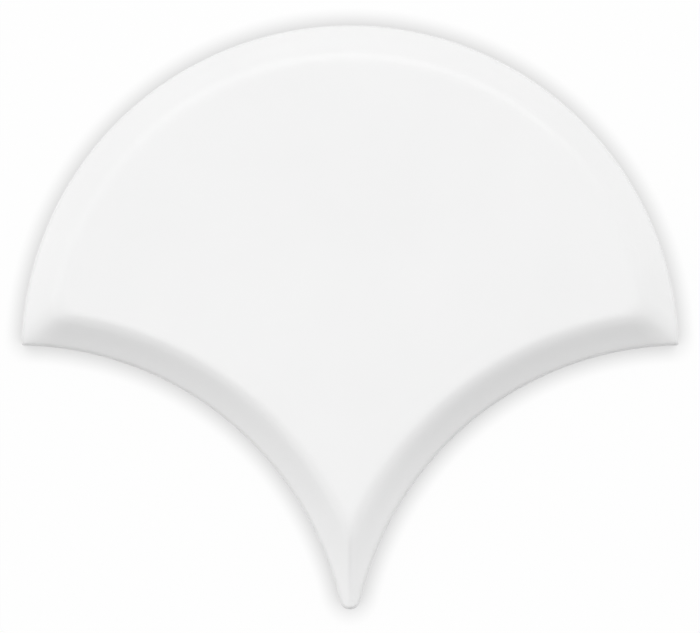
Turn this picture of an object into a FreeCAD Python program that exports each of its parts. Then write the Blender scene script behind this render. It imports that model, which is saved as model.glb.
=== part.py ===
# Fish scale wall tile: one dust-pressed, glazed ceramic piece, lying on its back with its face up.
# Millimetres. Seen from above, the round head points to +Y and the blunt tip to -Y; the face looks to +Z.
# The origin is on the back, at the middle of the box that holds the tile.

import FreeCAD
import Part
import Sketcher
import math
import os

# Driving sizes: alias, value, what it measures
DRIVING_SIZES = (
    ("head_radius", 60.0, "round head; the tile is about twice this wide"),
    ("course_joint", 0.4, "gap between a head and the hollow that it sits in"),
    ("side_joint", 1.4, "gap between two tiles side by side in a course"),
    ("course_lap", 1.2, "how much less than a head radius one course stands below the next"),
    ("tip_radius", 2.2, "round end of the tip, in plan"),
    ("tip_overlap", 0.13, "how far the tip's round end stands past the hollow walls at its centre"),
    ("tip_round", 1.05, "rounding of the tip's end from its wall to its ridge"),
    ("thickness", 9.0, "back to flat face"),
    ("bevel_width", 5.8, "from the edge to the bevel's ridge, in plan"),
    ("bevel_drop", 3.4, "how far the bevel falls from the flat face to the edge"),
    ("ridge_radius", 5.5, "soft ridge between the bevel and the flat face"),
    ("arris", 0.45, "small facet between the bevel and the side wall, in plan and down the wall"),
    ("back_chamfer", 0.4, "small chamfer round the back, along the head and the hollows"),
    ("cutter_margin", 3.0, "how far the cutting sections stand clear of the tile"),
)

# Sizes worked out from the driving ones
HOLLOW_RADIUS = "(Sizes.head_radius + Sizes.course_joint)"
HOLLOW_SPREAD = "(Sizes.head_radius + Sizes.side_joint / 2)"
HOLLOW_DROP = "(Sizes.head_radius - Sizes.course_lap)"
TIP_HALF_WIDTH = "(Sizes.tip_radius - Sizes.tip_overlap)"
TIP_RISE = f"sqrt({HOLLOW_RADIUS}^2 - ({HOLLOW_SPREAD} - {TIP_HALF_WIDTH})^2)"
TIP_CENTRE = f"({TIP_RISE} - {HOLLOW_DROP})"
EDGE_HEIGHT = "(Sizes.thickness - Sizes.bevel_drop)"
BEVEL_ANGLE = "atan(Sizes.bevel_drop / Sizes.bevel_width)"
RIDGE_REACH = f"(Sizes.bevel_width + Sizes.ridge_radius * tan({BEVEL_ANGLE} / 2))"
BLANK_RADIUS = "(Sizes.head_radius + Sizes.cutter_margin)"

# Point numbers on a sketch element, and a sketch's own origin
START, END, CENTRE = range(1, 4)
ORIGIN = (-1, START)


def make_sheet(doc):
    # One row for each driving size: name, value, note
    sheet = doc.addObject("Spreadsheet::Sheet", "Sizes")
    for row, (alias, value, note) in enumerate(DRIVING_SIZES, start=1):
        sheet.set(f"A{row}", alias)
        sheet.set(f"B{row}", str(value))
        sheet.setAlias(f"B{row}", alias)
        sheet.set(f"C{row}", note)
    doc.recompute()
    return sheet


def origin_plane(body, role):
    return next(plane for plane in body.Origin.OriginFeatures if plane.Role == role)


def new_sketch(body, name, role):
    sketch = body.newObject("Sketcher::SketchObject", name)
    sketch.AttachmentSupport = (origin_plane(body, role), "")
    sketch.MapMode = "FlatFace"
    return sketch


def add_driven(sketch, name, formula, *constraint):
    # A named dimension that follows the sheet
    index = sketch.addConstraint(Sketcher.Constraint(*constraint))
    sketch.renameConstraint(index, name)
    sketch.setExpression(f"Constraints.{name}", formula)


def line(start, end):
    return Part.LineSegment(FreeCAD.Vector(*start, 0), FreeCAD.Vector(*end, 0))


def arc(centre, radius, first, last):
    # Counter-clockwise between two directions, in radians
    circle = Part.Circle(FreeCAD.Vector(*centre, 0), FreeCAD.Vector(0, 0, 1), radius)
    return Part.ArcOfCircle(circle, first, last)


def join_ends(sketch, pairs):
    for one, following in pairs:
        sketch.addConstraint(Sketcher.Constraint("Coincident", one, END, following, START))


def set_upright_and_level(sketch, upright, level):
    for element in upright:
        sketch.addConstraint(Sketcher.Constraint("Vertical", element))
    for element in level:
        sketch.addConstraint(Sketcher.Constraint("Horizontal", element))


def draw_blank(body, sheet):
    sketch = new_sketch(body, "BlankPlan", "XY_Plane")
    radius = sheet.head_radius + sheet.cutter_margin
    circle = sketch.addGeometry(Part.Circle(FreeCAD.Vector(), FreeCAD.Vector(0, 0, 1), radius))
    sketch.addConstraint(Sketcher.Constraint("Coincident", circle, CENTRE, *ORIGIN))
    add_driven(sketch, "blank", BLANK_RADIUS, "Radius", circle, radius)
    return sketch


def draw_edge_section(body, sheet, name, role, wall_radius, wall_size, climb):
    # What is cut away round one arc of the outline, as (distance from the arc's axis, height):
    # side wall, arris facet, straight bevel, soft ridge, then well clear of the tile.
    # climb is -1 where the tile lies inside the arc (the head) and +1 where it lies outside (a hollow).
    top, margin = sheet.thickness, sheet.cutter_margin
    ridge, arris = sheet.ridge_radius, sheet.arris
    slope = math.atan2(sheet.bevel_drop, sheet.bevel_width)
    ridge_tangent = ridge * math.tan(slope / 2)
    along_bevel = (climb * math.cos(slope), math.sin(slope))
    edge_height = top - sheet.bevel_drop
    ridge_corner = (wall_radius + climb * sheet.bevel_width, top)

    foot = (wall_radius, -margin)
    wall_end = (wall_radius, edge_height - arris)
    bevel_start = (wall_radius + climb * arris, edge_height + arris * math.tan(slope))
    bevel_end = (
        ridge_corner[0] - ridge_tangent * along_bevel[0],
        ridge_corner[1] - ridge_tangent * along_bevel[1],
    )
    flat_start = (ridge_corner[0] + climb * ridge_tangent, top)
    above = (flat_start[0], top + margin)
    clear = wall_radius - climb * sheet.head_radius
    ridge_centre = (flat_start[0], top - ridge)

    # Directions from the ridge arc's centre to its ends
    upright = math.pi / 2
    leaning = upright + climb * slope
    sketch = new_sketch(body, name, role)
    wall, facet, bevel, ridge_arc, rise, over, fall, under = sketch.addGeometry(
        [
            line(foot, wall_end),
            line(wall_end, bevel_start),
            line(bevel_start, bevel_end),
            arc(ridge_centre, ridge, *sorted((leaning, upright))),
            line(flat_start, above),
            line(above, (clear, above[1])),
            line((clear, above[1]), (clear, -margin)),
            line((clear, -margin), foot),
        ]
    )
    low_end, high_end = (END, START) if climb > 0 else (START, END)
    sketch.addConstraint(Sketcher.Constraint("Tangent", bevel, END, ridge_arc, low_end))
    sketch.addConstraint(Sketcher.Constraint("Coincident", ridge_arc, high_end, rise, START))
    sketch.addConstraint(Sketcher.Constraint("Vertical", ridge_arc, CENTRE, ridge_arc, high_end))
    join_ends(sketch, ((wall, facet), (facet, bevel), (rise, over), (over, fall), (fall, under), (under, wall)))
    set_upright_and_level(sketch, (wall, rise, fall), (over, under))

    sign = "+" if climb > 0 else "-"
    flat_size = f"{wall_size} {sign} {RIDGE_REACH}"
    lean = slope if climb > 0 else math.pi - slope
    lean_size = BEVEL_ANGLE if climb > 0 else f"180 deg - {BEVEL_ANGLE}"
    clear_points = (fall, START, wall, START) if climb > 0 else (wall, START, fall, START)
    facet_points = (facet, START, facet, END) if climb > 0 else (facet, END, facet, START)
    add_driven(sketch, "wall", wall_size, "DistanceX", *ORIGIN, wall, START, wall_radius)
    add_driven(sketch, "below", "Sizes.cutter_margin", "DistanceY", wall, START, *ORIGIN, margin)
    add_driven(sketch, "flat", flat_size, "DistanceX", *ORIGIN, rise, START, flat_start[0])
    add_driven(sketch, "top", "Sizes.thickness", "DistanceY", *ORIGIN, rise, START, top)
    add_driven(sketch, "above", "Sizes.cutter_margin", "DistanceY", rise, START, rise, END, margin)
    add_driven(sketch, "slope", lean_size, "Angle", bevel, lean)
    add_driven(sketch, "ridge", "Sizes.ridge_radius", "Radius", ridge_arc, ridge)
    add_driven(sketch, "arris", "Sizes.arris", "DistanceX", *facet_points, arris)
    add_driven(sketch, "wall_top", f"{EDGE_HEIGHT} - Sizes.arris", "DistanceY", *ORIGIN, wall, END, wall_end[1])
    add_driven(sketch, "clear", "Sizes.head_radius", "DistanceX", *clear_points, sheet.head_radius)
    return sketch


def draw_tip_section(body, sheet):
    # What is cut away round the end of the tip: its wall and the rounding over its end
    radius, rounding, margin = sheet.tip_radius, sheet.tip_round, sheet.cutter_margin
    wall_top = sheet.thickness - sheet.bevel_drop
    inner = rounding - radius
    above = sheet.thickness + margin
    clear = -radius - sheet.head_radius
    sketch = new_sketch(body, "TipSection", "YZ_Plane")
    wall, end_arc, rise, over, fall, under = sketch.addGeometry(
        [
            line((-radius, -margin), (-radius, wall_top)),
            arc((inner, wall_top), rounding, math.pi / 2, math.pi),
            line((inner, wall_top + rounding), (inner, above)),
            line((inner, above), (clear, above)),
            line((clear, above), (clear, -margin)),
            line((clear, -margin), (-radius, -margin)),
        ]
    )
    sketch.addConstraint(Sketcher.Constraint("Tangent", wall, END, end_arc, END))
    sketch.addConstraint(Sketcher.Constraint("Coincident", end_arc, START, rise, START))
    sketch.addConstraint(Sketcher.Constraint("Vertical", end_arc, CENTRE, end_arc, START))
    join_ends(sketch, ((rise, over), (over, fall), (fall, under), (under, wall)))
    set_upright_and_level(sketch, (wall, rise, fall), (over, under))
    above_size = "Sizes.thickness + Sizes.cutter_margin"
    add_driven(sketch, "wall", "Sizes.tip_radius", "DistanceX", wall, START, *ORIGIN, radius)
    add_driven(sketch, "below", "Sizes.cutter_margin", "DistanceY", wall, START, *ORIGIN, margin)
    add_driven(sketch, "wall_top", EDGE_HEIGHT, "DistanceY", *ORIGIN, wall, END, wall_top)
    add_driven(sketch, "rounding", "Sizes.tip_round", "Radius", end_arc, rounding)
    add_driven(sketch, "above", above_size, "DistanceY", *ORIGIN, rise, END, above)
    add_driven(sketch, "clear", "Sizes.head_radius", "DistanceX", fall, END, wall, START, sheet.head_radius)
    sketch.setExpression(".AttachmentOffset.Base.x", TIP_CENTRE)
    return sketch


def cut_round(body, name, sketch, angle):
    # Turn a section about its sketch's upright axis, equally to both sides, and take it away
    groove = body.newObject("PartDesign::Groove", name)
    groove.Profile = sketch
    groove.ReferenceAxis = (sketch, ["V_Axis"])
    groove.Midplane = True
    groove.Angle = angle
    return groove


def check_cut(doc, feature, volume_before):
    doc.recompute()
    volume = feature.Shape.Volume
    if volume >= volume_before:
        raise RuntimeError(f"{feature.Name} cut nothing: {volume_before:.1f} to {volume:.1f} mm3")
    return volume


def make_tile(doc, sheet):
    body = doc.addObject("PartDesign::Body", "Tile")
    body.Label = "tile"
    full_turn = math.degrees(math.tau)
    half_turn = math.degrees(math.pi)

    # The pressed blank, a plain disc
    blank = body.newObject("PartDesign::Pad", "Blank")
    blank.Profile = draw_blank(body, sheet)
    blank.setExpression("Length", "Sizes.thickness")
    doc.recompute()
    volume = blank.Shape.Volume

    # The head's edge, turned about the head's centre
    head_section = draw_edge_section(
        body, sheet, "HeadSection", "YZ_Plane", sheet.head_radius, "Sizes.head_radius", -1
    )
    head = cut_round(body, "HeadEdge", head_section, full_turn)
    volume = check_cut(doc, head, volume)

    # The right hollow, turned about its own centre, and its mirror image on the left
    hollow_radius = sheet.head_radius + sheet.course_joint
    hollow_section = draw_edge_section(
        body, sheet, "HollowSection", "XZ_Plane", hollow_radius, HOLLOW_RADIUS, 1
    )
    hollow_section.setExpression(".AttachmentOffset.Base.x", HOLLOW_SPREAD)
    hollow_section.setExpression(".AttachmentOffset.Base.z", HOLLOW_DROP)
    right_hollow = cut_round(body, "RightHollow", hollow_section, full_turn)
    volume = check_cut(doc, right_hollow, volume)
    left_hollow = body.newObject("PartDesign::Mirrored", "LeftHollow")
    left_hollow.Originals = [right_hollow]
    left_hollow.MirrorPlane = (origin_plane(body, "YZ_Plane"), [""])
    body.Tip = left_hollow
    volume = check_cut(doc, left_hollow, volume)

    # The blunt end of the tip, a half turn about the tip's own centre
    tip = cut_round(body, "TipEnd", draw_tip_section(body, sheet), half_turn)
    body.Tip = tip
    volume = check_cut(doc, tip, volume)

    # A small chamfer round the back, along the head and the hollows; the tip's short edge stays sharp
    back_edges = [
        (edge.Length, f"Edge{number}")
        for number, edge in enumerate(tip.Shape.Edges, start=1)
        if edge.BoundBox.ZMax < edge.Tolerance
    ]
    tip_edge = min(back_edges)
    back = body.newObject("PartDesign::Chamfer", "BackEdge")
    back.Base = (tip, [name for length, name in back_edges if length > tip_edge[0]])
    back.setExpression("Size", "Sizes.back_chamfer")
    body.Tip = back
    check_cut(doc, back, volume)

    # Half way between the head's top and the tip's end
    body.setExpression(".Placement.Base.y", f"(Sizes.tip_radius - {TIP_CENTRE} - Sizes.head_radius) / 2")
    doc.recompute()
    return body


def check_and_write(doc, parts):
    for item in doc.Objects:
        if "Invalid" in item.State or "Error" in item.State:
            raise RuntimeError(f"{item.Name} failed: {item.State}")
    os.makedirs("parts", exist_ok=True)
    for part in parts:
        shape = part.Shape
        if shape.isNull() or not shape.isValid() or len(shape.Solids) != 1:
            raise RuntimeError(f"{part.Label} is not one valid solid")
        shape.exportStep(f"parts/{part.Label}.step")
        box = shape.optimalBoundingBox()
        print(
            f"{part.Label}: {box.XLength:.2f} x {box.YLength:.2f} x {box.ZLength:.2f} mm, "
            f"middle {box.Center.x:.3f} {box.Center.y:.3f}, {shape.Volume / 1000:.2f} cm3, "
            f"{len(shape.Faces)} faces"
        )


def main():
    doc = FreeCAD.newDocument("fish_scale_tile")
    sheet = make_sheet(doc)
    check_and_write(doc, [make_tile(doc, sheet)])


main()
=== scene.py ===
import math

import bpy
import numpy as np
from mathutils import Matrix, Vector


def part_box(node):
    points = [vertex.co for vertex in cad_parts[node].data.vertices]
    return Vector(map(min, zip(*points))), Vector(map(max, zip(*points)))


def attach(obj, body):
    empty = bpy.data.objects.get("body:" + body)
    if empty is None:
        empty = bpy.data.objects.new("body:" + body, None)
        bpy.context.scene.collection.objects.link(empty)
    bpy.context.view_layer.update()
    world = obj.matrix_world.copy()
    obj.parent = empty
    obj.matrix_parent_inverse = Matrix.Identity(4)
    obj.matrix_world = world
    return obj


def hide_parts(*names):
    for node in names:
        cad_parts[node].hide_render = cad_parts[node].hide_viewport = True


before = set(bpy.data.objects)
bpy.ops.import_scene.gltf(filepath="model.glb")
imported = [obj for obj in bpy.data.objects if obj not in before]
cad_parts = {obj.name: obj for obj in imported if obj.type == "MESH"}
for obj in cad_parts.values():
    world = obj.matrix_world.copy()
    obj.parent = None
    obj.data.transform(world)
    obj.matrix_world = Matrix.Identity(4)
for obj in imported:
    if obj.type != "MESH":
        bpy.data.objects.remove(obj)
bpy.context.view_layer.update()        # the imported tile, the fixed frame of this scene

mm = 0.001


# the tile: one glazed ceramic piece, millimetres, heights from its back

tileSizes = {
    "headRadius": 60.0,
    "courseJoint": 0.4,      # a hollow is this much larger in radius than a head
    "sideJoint": 1.4,        # gap between two tiles side by side
    "courseLap": 1.2,        # a hollow's centre lies a head radius less this below the head's
    "tipRadius": 2.2,
    "tipOverlap": 0.13,      # the tip's round end stands this far past the hollow walls
    "tipOpening": 3.0,       # above its centre the tip's end opens out this many times as fast as it rises
    "bevelWidth": 5.8,
    "bevelDrop": 3.4,
    "bevelHollow": 0.07,     # the bevel's middle sags this much below a straight line
    "ridgeRadius": 5.5,      # soft ridge between bevel and flat face
    "arrisRadius": 1.4,      # rounding between side wall and bevel
    "backChamfer": 0.4,
    "outlineSoftness": 0.5,  # band over which two edges of the outline run together
    "cornerHipSoftness": 4.2,  # the same for two bevels, at the side corners
    "tipHipSoftness": 1.5,   # and at the tip
    "poleRise": 18.0,        # the mesh spreads from this far above the head's centre
    "columns": 880,          # round the outline
    "turnWeight": 9.0,       # extra columns where the outline turns, millimetres a radian
    "flatSteps": 7,          # rows of the mesh, from the pole of the face outwards
    "ridgeSteps": 14,
    "bevelSteps": 11,
    "arrisSteps": 8,
    "wallSteps": 5,
    "backSteps": 5,
    "traceSteps": 12000,     # rays that trace the outline before the columns are spread along it
    "halvings": 46,          # of a ray's length, to find the point on it
    "sharpAngle": 32.0,      # degrees; an edge that turns more is shaded sharp
}


def tilePlan(sizes, box):
    # circle centres, from the top of the frame's box downwards, then the bevel's slope and reach
    low, high = box
    plan = {"thickness": (high.z - low.z) / mm, "headY": high.y / mm - sizes["headRadius"]}
    plan["hollowRadius"] = sizes["headRadius"] + sizes["courseJoint"]
    plan["hollowX"] = sizes["headRadius"] + sizes["sideJoint"] / 2
    plan["hollowY"] = plan["headY"] - sizes["headRadius"] + sizes["courseLap"]
    tipHalfWidth = sizes["tipRadius"] - sizes["tipOverlap"]
    acrossWall = plan["hollowX"] - tipHalfWidth
    plan["tipY"] = plan["hollowY"] + math.sqrt(plan["hollowRadius"] ** 2 - acrossWall ** 2)
    plan["slope"] = math.atan2(sizes["bevelDrop"], sizes["bevelWidth"])
    plan["reach"] = sizes["bevelWidth"] + sizes["ridgeRadius"] * math.tan(plan["slope"] / 2)
    plan["pole"] = np.array([0.0, plan["headY"] + sizes["poleRise"]])
    return plan


def smoothMin(first, second, softness):
    # the smaller of two fields, their crease rounded over a band of that width
    overlap = np.maximum(softness - np.abs(first - second), 0)
    return np.minimum(first, second) - overlap ** 2 / (4 * softness)


def edgeDistance(x, y, opened, sizes, plan):
    # distance in from the head's arc and the two hollows' arcs, which run together over a band;
    # opened goes from 0, crisp as at the outline, to 1, soft as along the hips of the face
    head = sizes["headRadius"] - np.hypot(x, y - plan["headY"])
    right = np.hypot(x - plan["hollowX"], y - plan["hollowY"]) - plan["hollowRadius"]
    left = np.hypot(x + plan["hollowX"], y - plan["hollowY"]) - plan["hollowRadius"]
    crisp = sizes["outlineSoftness"]
    tipBand = crisp + (sizes["tipHipSoftness"] - crisp) * opened
    cornerBand = crisp + (sizes["cornerHipSoftness"] - crisp) * opened
    return smoothMin(smoothMin(left, right, tipBand), head, cornerBand)


def tipDistance(x, y, sizes, plan):
    # distance in from the tip's round end; above the tip's centre it opens out and bounds nothing
    above = y - plan["tipY"]
    opening = sizes["tipOpening"] * np.maximum(above, 0)
    return sizes["tipRadius"] + opening - np.hypot(x, np.minimum(above, 0))


def faceHeight(inward, sizes, plan):
    # height over distance in from the edges: bevel with a slight sag, ridge arc, flat
    slope, reach, top, ridge = plan["slope"], plan["reach"], plan["thickness"], sizes["ridgeRadius"]
    ridgeStart = reach - ridge * math.sin(slope)
    sag = sizes["bevelHollow"] * np.sin(math.pi * np.clip(inward / ridgeStart, 0, 1)) ** 2
    bevel = top - sizes["bevelDrop"] + inward * math.tan(slope) - sag
    inRidge = np.clip(reach - inward, 0, ridge)
    ridgeArc = top - ridge + np.sqrt(ridge ** 2 - inRidge ** 2)
    return np.where(inward > ridgeStart, ridgeArc, bevel)


def arrisDrop(level, sizes, plan):
    # how far the arris arc falls below the bevel, over distance in from the outline
    slope, arris = plan["slope"], sizes["arrisRadius"]
    inArris = np.clip(arris - level, 0, arris)
    arc = arris * math.tan(slope) - arris / math.cos(slope) + np.sqrt(arris ** 2 - inArris ** 2)
    return np.where(level < arris * (1 - math.sin(slope)), level * math.tan(slope) - arc, 0)


def levelCurves(levels, angles, sizes, plan):
    # along each ray from the pole, the point that lies each level in from the outline, by halving;
    # corners are crisp at the outline and open out to the full softness of the hips at the ridge
    opened = np.clip(levels / plan["reach"], 0, 1)[:, None]
    directionX, directionY = np.cos(angles), np.sin(angles)
    near = np.zeros((len(levels), len(angles)))
    far = np.full_like(near, 2 * sizes["headRadius"])
    for halving in range(sizes["halvings"]):
        middle = (near + far) / 2
        x = plan["pole"][0] + middle * directionX
        y = plan["pole"][1] + middle * directionY
        edges = edgeDistance(x, y, opened, sizes, plan)
        tipEnd = tipDistance(x, y, sizes, plan)
        inside = smoothMin(edges, tipEnd, sizes["outlineSoftness"]) > levels[:, None]
        near = np.where(inside, middle, near)
        far = np.where(inside, far, middle)
    return plan["pole"][0] + near * directionX, plan["pole"][1] + near * directionY


def outlineAngles(sizes, plan):
    # ray angles at even steps of outline length plus a share for its turning
    fine = np.linspace(0, 2 * math.pi, sizes["traceSteps"] + 1)
    x, y = (row[0] for row in levelCurves(np.zeros(1), fine, sizes, plan))
    stepX, stepY = np.diff(x), np.diff(y)
    heading = np.unwrap(np.arctan2(stepY, stepX))
    turn = np.abs(np.diff(heading, append=heading[0] + 2 * math.pi))
    along = np.concatenate([[0], np.cumsum(np.hypot(stepX, stepY) + sizes["turnWeight"] * turn)])
    return np.interp(np.linspace(0, along[-1], sizes["columns"] + 1)[:-1], along, fine)


def profileLevels(sizes, plan):
    # distances in from the edge for the mesh rows: even turns over ridge and arris, even steps between
    slope, reach = plan["slope"], plan["reach"]
    ridgeTurns = np.linspace(0, slope, sizes["ridgeSteps"] + 1)
    arrisTurns = np.linspace(math.pi / 2 - slope, 0, sizes["arrisSteps"] + 1)
    ridge = reach - sizes["ridgeRadius"] * np.sin(ridgeTurns)
    arris = sizes["arrisRadius"] * (1 - np.cos(arrisTurns))
    bevel = np.linspace(ridge[-1], arris[0], sizes["bevelSteps"] + 1)[1:-1]
    return np.concatenate([ridge, bevel, arris])


def tileSurface(sizes, plan):
    # closed grid: rows run from the middle of the face out over ridge, bevel and arris, down the wall,
    # round the back's chamfer and in to the middle of the back; columns go round the outline
    angles = outlineAngles(sizes, plan)
    levels = profileLevels(sizes, plan)
    x, y = levelCurves(np.append(levels, sizes["backChamfer"]), angles, sizes, plan)
    faceX, faceY, backX, backY = x[:-1], y[:-1], x[-1], y[-1]
    inward = edgeDistance(faceX, faceY, 1.0, sizes, plan)
    faceZ = faceHeight(inward, sizes, plan) - arrisDrop(levels, sizes, plan)[:, None]

    outward = np.linspace(0, 1, sizes["flatSteps"] + 1)[1:-1, None]
    flatX = plan["pole"][0] + outward * (faceX[0] - plan["pole"][0])
    flatY = plan["pole"][1] + outward * (faceY[0] - plan["pole"][1])
    flatZ = np.full_like(flatX, plan["thickness"])

    down = np.linspace(0, 1, sizes["wallSteps"] + 1)[1:, None]
    wallZ = faceZ[-1] + down * (sizes["backChamfer"] - faceZ[-1])
    wallX, wallY = np.broadcast_to(faceX[-1], wallZ.shape), np.broadcast_to(faceY[-1], wallZ.shape)

    closing = np.linspace(1, 0, sizes["backSteps"] + 1)[:-1, None]
    underX = plan["pole"][0] + closing * (backX - plan["pole"][0])
    underY = plan["pole"][1] + closing * (backY - plan["pole"][1])
    rows = np.stack(
        [
            np.concatenate([flatX, faceX, wallX, underX]),
            np.concatenate([flatY, faceY, wallY, underY]),
            np.concatenate([flatZ, faceZ, wallZ, np.zeros_like(underX)]),
        ],
        axis=-1,
    )
    poles = np.array([[*plan["pole"], plan["thickness"]], [*plan["pole"], 0.0]])
    return rows, poles


def gridFaces(rowCount, columnCount):
    # quads between rows, closed round the columns, and a fan at each pole
    index = np.arange(rowCount * columnCount).reshape(rowCount, columnCount)
    following = np.roll(index, -1, axis=1)
    quads = np.stack([index[:-1], index[1:], following[1:], following[:-1]], axis=-1).reshape(-1, 4)
    facePole, backPole = index.size, index.size + 1
    faceFan = np.stack([np.full(columnCount, facePole), index[0], following[0]], axis=-1)
    backFan = np.stack([np.full(columnCount, backPole), following[-1], index[-1]], axis=-1)
    return quads.tolist() + faceFan.tolist() + backFan.tolist()


def makeTile(sizes):
    plan = tilePlan(sizes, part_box("tile"))
    rows, poles = tileSurface(sizes, plan)
    mesh = bpy.data.meshes.new("glazed_tile")
    points = np.concatenate([rows.reshape(-1, 3), poles]) * mm
    mesh.from_pydata(points.tolist(), [], gridFaces(*rows.shape[:2]))
    mesh.shade_smooth()
    mesh.set_sharp_from_angle(angle=math.radians(sizes["sharpAngle"]))
    mesh.validate()
    piece = bpy.data.objects.new("glazed_tile", mesh)
    bpy.context.scene.collection.objects.link(piece)
    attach(piece, "root")
    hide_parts("tile")
    print("tile:", len(mesh.vertices), "points,", len(mesh.polygons), "faces")
    return piece


# materials

def linear(hexColour):
    # sRGB hex to the linear colour that a shader takes
    parts = [int(hexColour[at:at + 2], 16) / 255 for at in (1, 3, 5)]
    return [*(p / 12.92 if p <= 0.04045 else ((p + 0.055) / 1.055) ** 2.4 for p in parts), 1.0]


def addNode(tree, kind, inputs=None, **settings):
    # one node with its settings; an input takes a plain value or another node's output
    made = tree.nodes.new(kind)
    for name, value in settings.items():
        setattr(made, name, value)
    for key, value in (inputs or {}).items():
        if isinstance(value, bpy.types.NodeSocket):
            tree.links.new(value, made.inputs[key])
        else:
            made.inputs[key].default_value = value
    return made


def newMaterial(name):
    material = bpy.data.materials.new(name)
    material.use_nodes = True
    material.node_tree.nodes.clear()
    return material, material.node_tree


# dust-pressed earthenware under a white tin glaze, fired to a soft gloss: an even neutral white that pools
# a little, a skin that ripples faintly, and a chalky warm body where the glaze stops on the wall
glazeLook = {
    "white": "#F2F2F2",
    "pooled": "#EEEEEE",
    "body": "#DED6C8",
    "bodyDark": "#CFC5B4",
    "poolSize": 22.0,        # millimetres, as all sizes here
    "rippleSize": 5.0,
    "rippleDepth": 0.006,
    "grainSize": 0.5,
    "grainDepth": 0.05,
    "glazeLine": 1.5,        # height on the wall where the glaze stops
    "lineWander": 0.9,
    "lineWanderSize": 9.0,
    "lineBlur": 0.25,
    "roughness": 0.25,
    "roughnessSpread": 0.03,  # either way, with the pooling
    "bodyRoughness": 0.85,
    "ior": 1.5,
}


def glazedEarthenware(look):
    material, tree = newMaterial("white_glazed_earthenware")
    place = addNode(tree, "ShaderNodeTexCoord").outputs["Object"]
    height = addNode(tree, "ShaderNodeSeparateXYZ", {0: place}).outputs["Z"]

    # where the glaze ends: a wandering height on the side wall
    wander = addNode(tree, "ShaderNodeTexNoise", {"Vector": place, "Scale": 1 / (look["lineWanderSize"] * mm),
                     "Detail": 2.0}).outputs["Fac"]
    line = addNode(tree, "ShaderNodeMapRange", {0: wander, 3: (look["glazeLine"] - look["lineWander"]) * mm,
                   4: (look["glazeLine"] + look["lineWander"]) * mm}).outputs[0]
    above = addNode(tree, "ShaderNodeMath", {0: height, 1: line}, operation="SUBTRACT").outputs[0]
    blur = look["lineBlur"] * mm
    glazed = addNode(tree, "ShaderNodeMapRange", {0: above, 1: -blur, 2: blur},
                     interpolation_type="SMOOTHSTEP").outputs[0]

    # colours: pooled glaze and grainy body
    pool = addNode(tree, "ShaderNodeTexNoise", {"Vector": place, "Scale": 1 / (look["poolSize"] * mm),
                   "Detail": 3.0}).outputs["Fac"]
    white = addNode(tree, "ShaderNodeMix", {0: pool, 6: linear(look["white"]), 7: linear(look["pooled"])},
                    data_type="RGBA").outputs[2]
    grain = addNode(tree, "ShaderNodeTexNoise", {"Vector": place, "Scale": 1 / (look["grainSize"] * mm),
                    "Detail": 4.0}).outputs["Fac"]
    body = addNode(tree, "ShaderNodeMix", {0: grain, 6: linear(look["body"]), 7: linear(look["bodyDark"])},
                   data_type="RGBA").outputs[2]
    colour = addNode(tree, "ShaderNodeMix", {0: glazed, 6: body, 7: white}, data_type="RGBA").outputs[2]

    # gloss: smooth glaze, dull body
    sheen = addNode(tree, "ShaderNodeMapRange", {0: pool, 3: look["roughness"] - look["roughnessSpread"],
                    4: look["roughness"] + look["roughnessSpread"]}).outputs[0]
    roughness = addNode(tree, "ShaderNodeMix", {0: glazed, 2: look["bodyRoughness"], 3: sheen}).outputs[0]

    # relief: ripples in the glaze skin, grain in the body
    ripple = addNode(tree, "ShaderNodeTexNoise", {"Vector": place, "Scale": 1 / (look["rippleSize"] * mm),
                     "Detail": 1.0}).outputs["Fac"]
    rippleHeight = addNode(tree, "ShaderNodeMath", {0: ripple, 1: look["rippleDepth"] * mm},
                           operation="MULTIPLY").outputs[0]
    grainHeight = addNode(tree, "ShaderNodeMath", {0: grain, 1: look["grainDepth"] * mm},
                          operation="MULTIPLY").outputs[0]
    relief = addNode(tree, "ShaderNodeMix", {0: glazed, 2: grainHeight, 3: rippleHeight}).outputs[0]
    normal = addNode(tree, "ShaderNodeBump", {"Height": relief, "Strength": 1.0, "Distance": 1.0}).outputs[0]

    shader = addNode(tree, "ShaderNodeBsdfPrincipled", {"Base Color": colour, "Roughness": roughness,
                     "Normal": normal, "IOR": look["ior"]}).outputs[0]
    addNode(tree, "ShaderNodeOutputMaterial", {"Surface": shader})
    return material


# the stage: white paper floor, dark card on the tip's side, soft lamps, white room

stageLook = {
    "floorHalf": 2.0,        # metres, as all sizes of the stage
    "floorGap": 0.00002,     # a hair under the tile's back, so that the two faces don't coincide
    "paper": "#E8E8E8",
    "haloReach": 0.0036,     # width of the painted soft contact shadow round the tile
    # darkness of the painted contact shadow at the tile's foot
    "haloDepth": 0.55,
    "haloSamples": 24,
    "glow": 0.96,            # share of emitted white, with its painted contact shadow, in what the camera sees of the paper
}


def seenRays(tree):
    # one for a ray that looks at the stage, straight or in a reflection, and zero for any other
    rays = addNode(tree, "ShaderNodeLightPath").outputs
    either = addNode(tree, "ShaderNodeMath", {0: rays["Is Camera Ray"], 1: rays["Is Glossy Ray"]},
                     operation="MAXIMUM").outputs[0]
    return addNode(tree, "ShaderNodeMath", {0: either, 1: rays["Is Transmission Ray"]},
                   operation="MAXIMUM").outputs[0]


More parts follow.
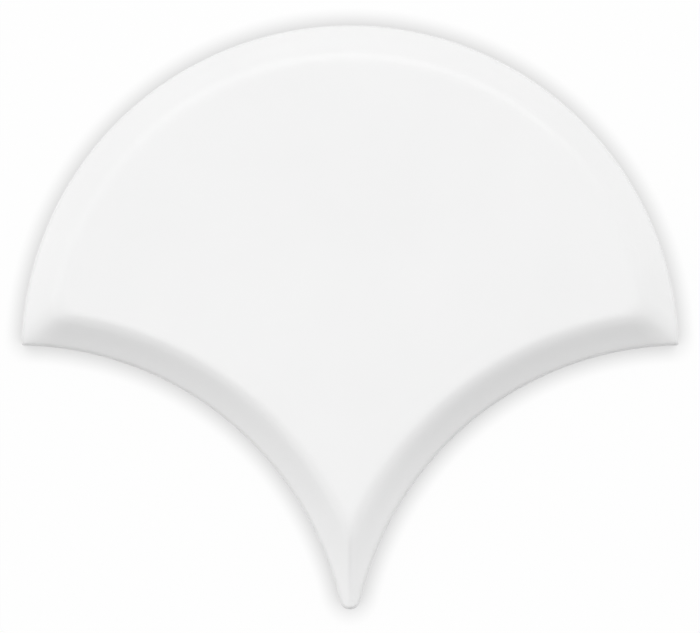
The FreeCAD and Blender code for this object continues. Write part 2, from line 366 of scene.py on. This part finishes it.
def whitePaper(look):
    # matt white paper: to the eye nearly even emitted white, with the tile's contact shadow painted in from
    # ambient occlusion; to other rays matt
    material, tree = newMaterial("matt_white_paper")
    matt = addNode(tree, "ShaderNodeBsdfDiffuse", {"Color": linear(look["paper"])}).outputs[0]
    unshaded = addNode(tree, "ShaderNodeAmbientOcclusion", {"Distance": look["haloReach"]},
                       samples=look["haloSamples"]).outputs["AO"]
    # painted shadow: the emitted white is darkened where ambient occlusion finds the tile near
    shade = addNode(tree, "ShaderNodeMapRange", {0: unshaded, 3: 1 - look["haloDepth"]}).outputs[0]
    emittedWithPaintedShadow = addNode(tree, "ShaderNodeEmission", {"Strength": shade}).outputs[0]
    seen = addNode(tree, "ShaderNodeMixShader", {0: look["glow"], 1: matt, 2: emittedWithPaintedShadow}).outputs[0]
    mixed = addNode(tree, "ShaderNodeMixShader", {0: seenRays(tree), 1: matt, 2: seen}).outputs[0]
    addNode(tree, "ShaderNodeOutputMaterial", {"Surface": mixed})
    return material


def makeFloor(look):
    half, level = look["floorHalf"], -look["floorGap"]
    mesh = bpy.data.meshes.new("paper_floor")
    corners = [(-half, -half, level), (half, -half, level), (half, half, level), (-half, half, level)]
    mesh.from_pydata(corners, [], [(0, 1, 2, 3)])
    mesh.materials.append(whitePaper(look))
    floor = bpy.data.objects.new("paper_floor", mesh)
    bpy.context.scene.collection.objects.link(floor)


darkCard = {"distance": 1.2, "halfWidth": 1.18, "height": 3.8, "azimuth": 275, "colour": "#101010"}


def makeDarkCard(card):
    # stands on the floor on the tip's side and keeps the room's light off the lower bevels
    turn = math.radians(card["azimuth"])
    middle = Vector((math.cos(turn), math.sin(turn), 0)) * card["distance"]
    across = Vector((-math.sin(turn), math.cos(turn), 0)) * card["halfWidth"]
    up = Vector((0, 0, card["height"]))
    first, last = middle - across, middle + across
    mesh = bpy.data.meshes.new("dark_card")
    mesh.from_pydata([first, last, last + up, first + up], [], [(0, 1, 2, 3)])
    material, tree = newMaterial("matt_black_card")
    matt = addNode(tree, "ShaderNodeBsdfDiffuse", {"Color": linear(card["colour"])}).outputs[0]
    addNode(tree, "ShaderNodeOutputMaterial", {"Surface": matt})
    mesh.materials.append(material)
    piece = bpy.data.objects.new("dark_card", mesh)
    piece.visible_camera = False
    bpy.context.scene.collection.objects.link(piece)


# azimuth from +X and elevation give the way from the tile to a lamp; width and height in metres
lamps = {
    "overhead_softbox": {"azimuth": 260, "elevation": 88, "size": (1.38, 1.38), "watts": 6.2},
    "strip_softbox": {"azimuth": 93, "elevation": 56, "size": (2.13, 0.85), "watts": 6.5},
    "left_softbox": {"azimuth": 184, "elevation": 42, "size": (1.85, 1.85), "watts": 9.7},
    "right_softbox": {"azimuth": 3, "elevation": 33, "size": (2.4, 2.4), "watts": 9.7},
}
lampDistance = 2.0           # metres, the same for all


def makeLamp(name, lamp, distance):
    turn, rise = math.radians(lamp["azimuth"]), math.radians(lamp["elevation"])
    away = Vector((math.cos(rise) * math.cos(turn), math.cos(rise) * math.sin(turn), math.sin(rise)))
    light = bpy.data.lights.new(name, "AREA")
    light.shape = "RECTANGLE"
    light.size, light.size_y = lamp["size"]
    light.energy = lamp["watts"]
    made = bpy.data.objects.new(name, light)
    made.location = away * distance
    made.rotation_euler = away.to_track_quat("Z", "Y").to_euler()
    bpy.context.scene.collection.objects.link(made)


roomLook = {
    "walls": "#FFFFFF",
    "light": 0.65,           # strength of the walls as light on the tile; to the eye it is 1, plain white
}


def makeRoom(look):
    world = bpy.data.worlds.new("white_room")
    world.use_nodes = True
    tree = world.node_tree
    tree.nodes.clear()
    strength = addNode(tree, "ShaderNodeMapRange", {0: seenRays(tree), 3: look["light"]}).outputs[0]
    walls = addNode(tree, "ShaderNodeBackground", {"Color": linear(look["walls"]),
                    "Strength": strength}).outputs[0]
    addNode(tree, "ShaderNodeOutputWorld", {"Surface": walls})
    bpy.context.scene.world = world


cameraView = {
    "distance": 0.9,         # metres above the tile's edge, looking straight down
    "edgeHeight": 0.006,
    "across": 0.1275,        # metres of the edge's plane across the picture
    "shift": (0.0, 0.0001),  # metres right of and above the tile's middle
    "sensor": 36.0,          # millimetres
    "clip": (0.01, 20.0),
}


def makeCamera(view):
    data = bpy.data.cameras.new("overhead_camera")
    data.sensor_width = view["sensor"]
    data.lens = view["sensor"] * view["distance"] / view["across"]
    data.clip_start, data.clip_end = view["clip"]
    camera = bpy.data.objects.new("overhead_camera", data)
    camera.location = (*view["shift"], view["edgeHeight"] + view["distance"])
    bpy.context.scene.collection.objects.link(camera)
    bpy.context.scene.camera = camera


tile = makeTile(tileSizes)
tile.data.materials.append(glazedEarthenware(glazeLook))
print("tile glazed")
makeFloor(stageLook)
makeDarkCard(darkCard)
for lampName, lamp in lamps.items():
    makeLamp(lampName, lamp, lampDistance)
makeRoom(roomLook)
makeCamera(cameraView)
bpy.context.scene.view_settings.view_transform = "Standard"
print("stage, lamps and camera set")
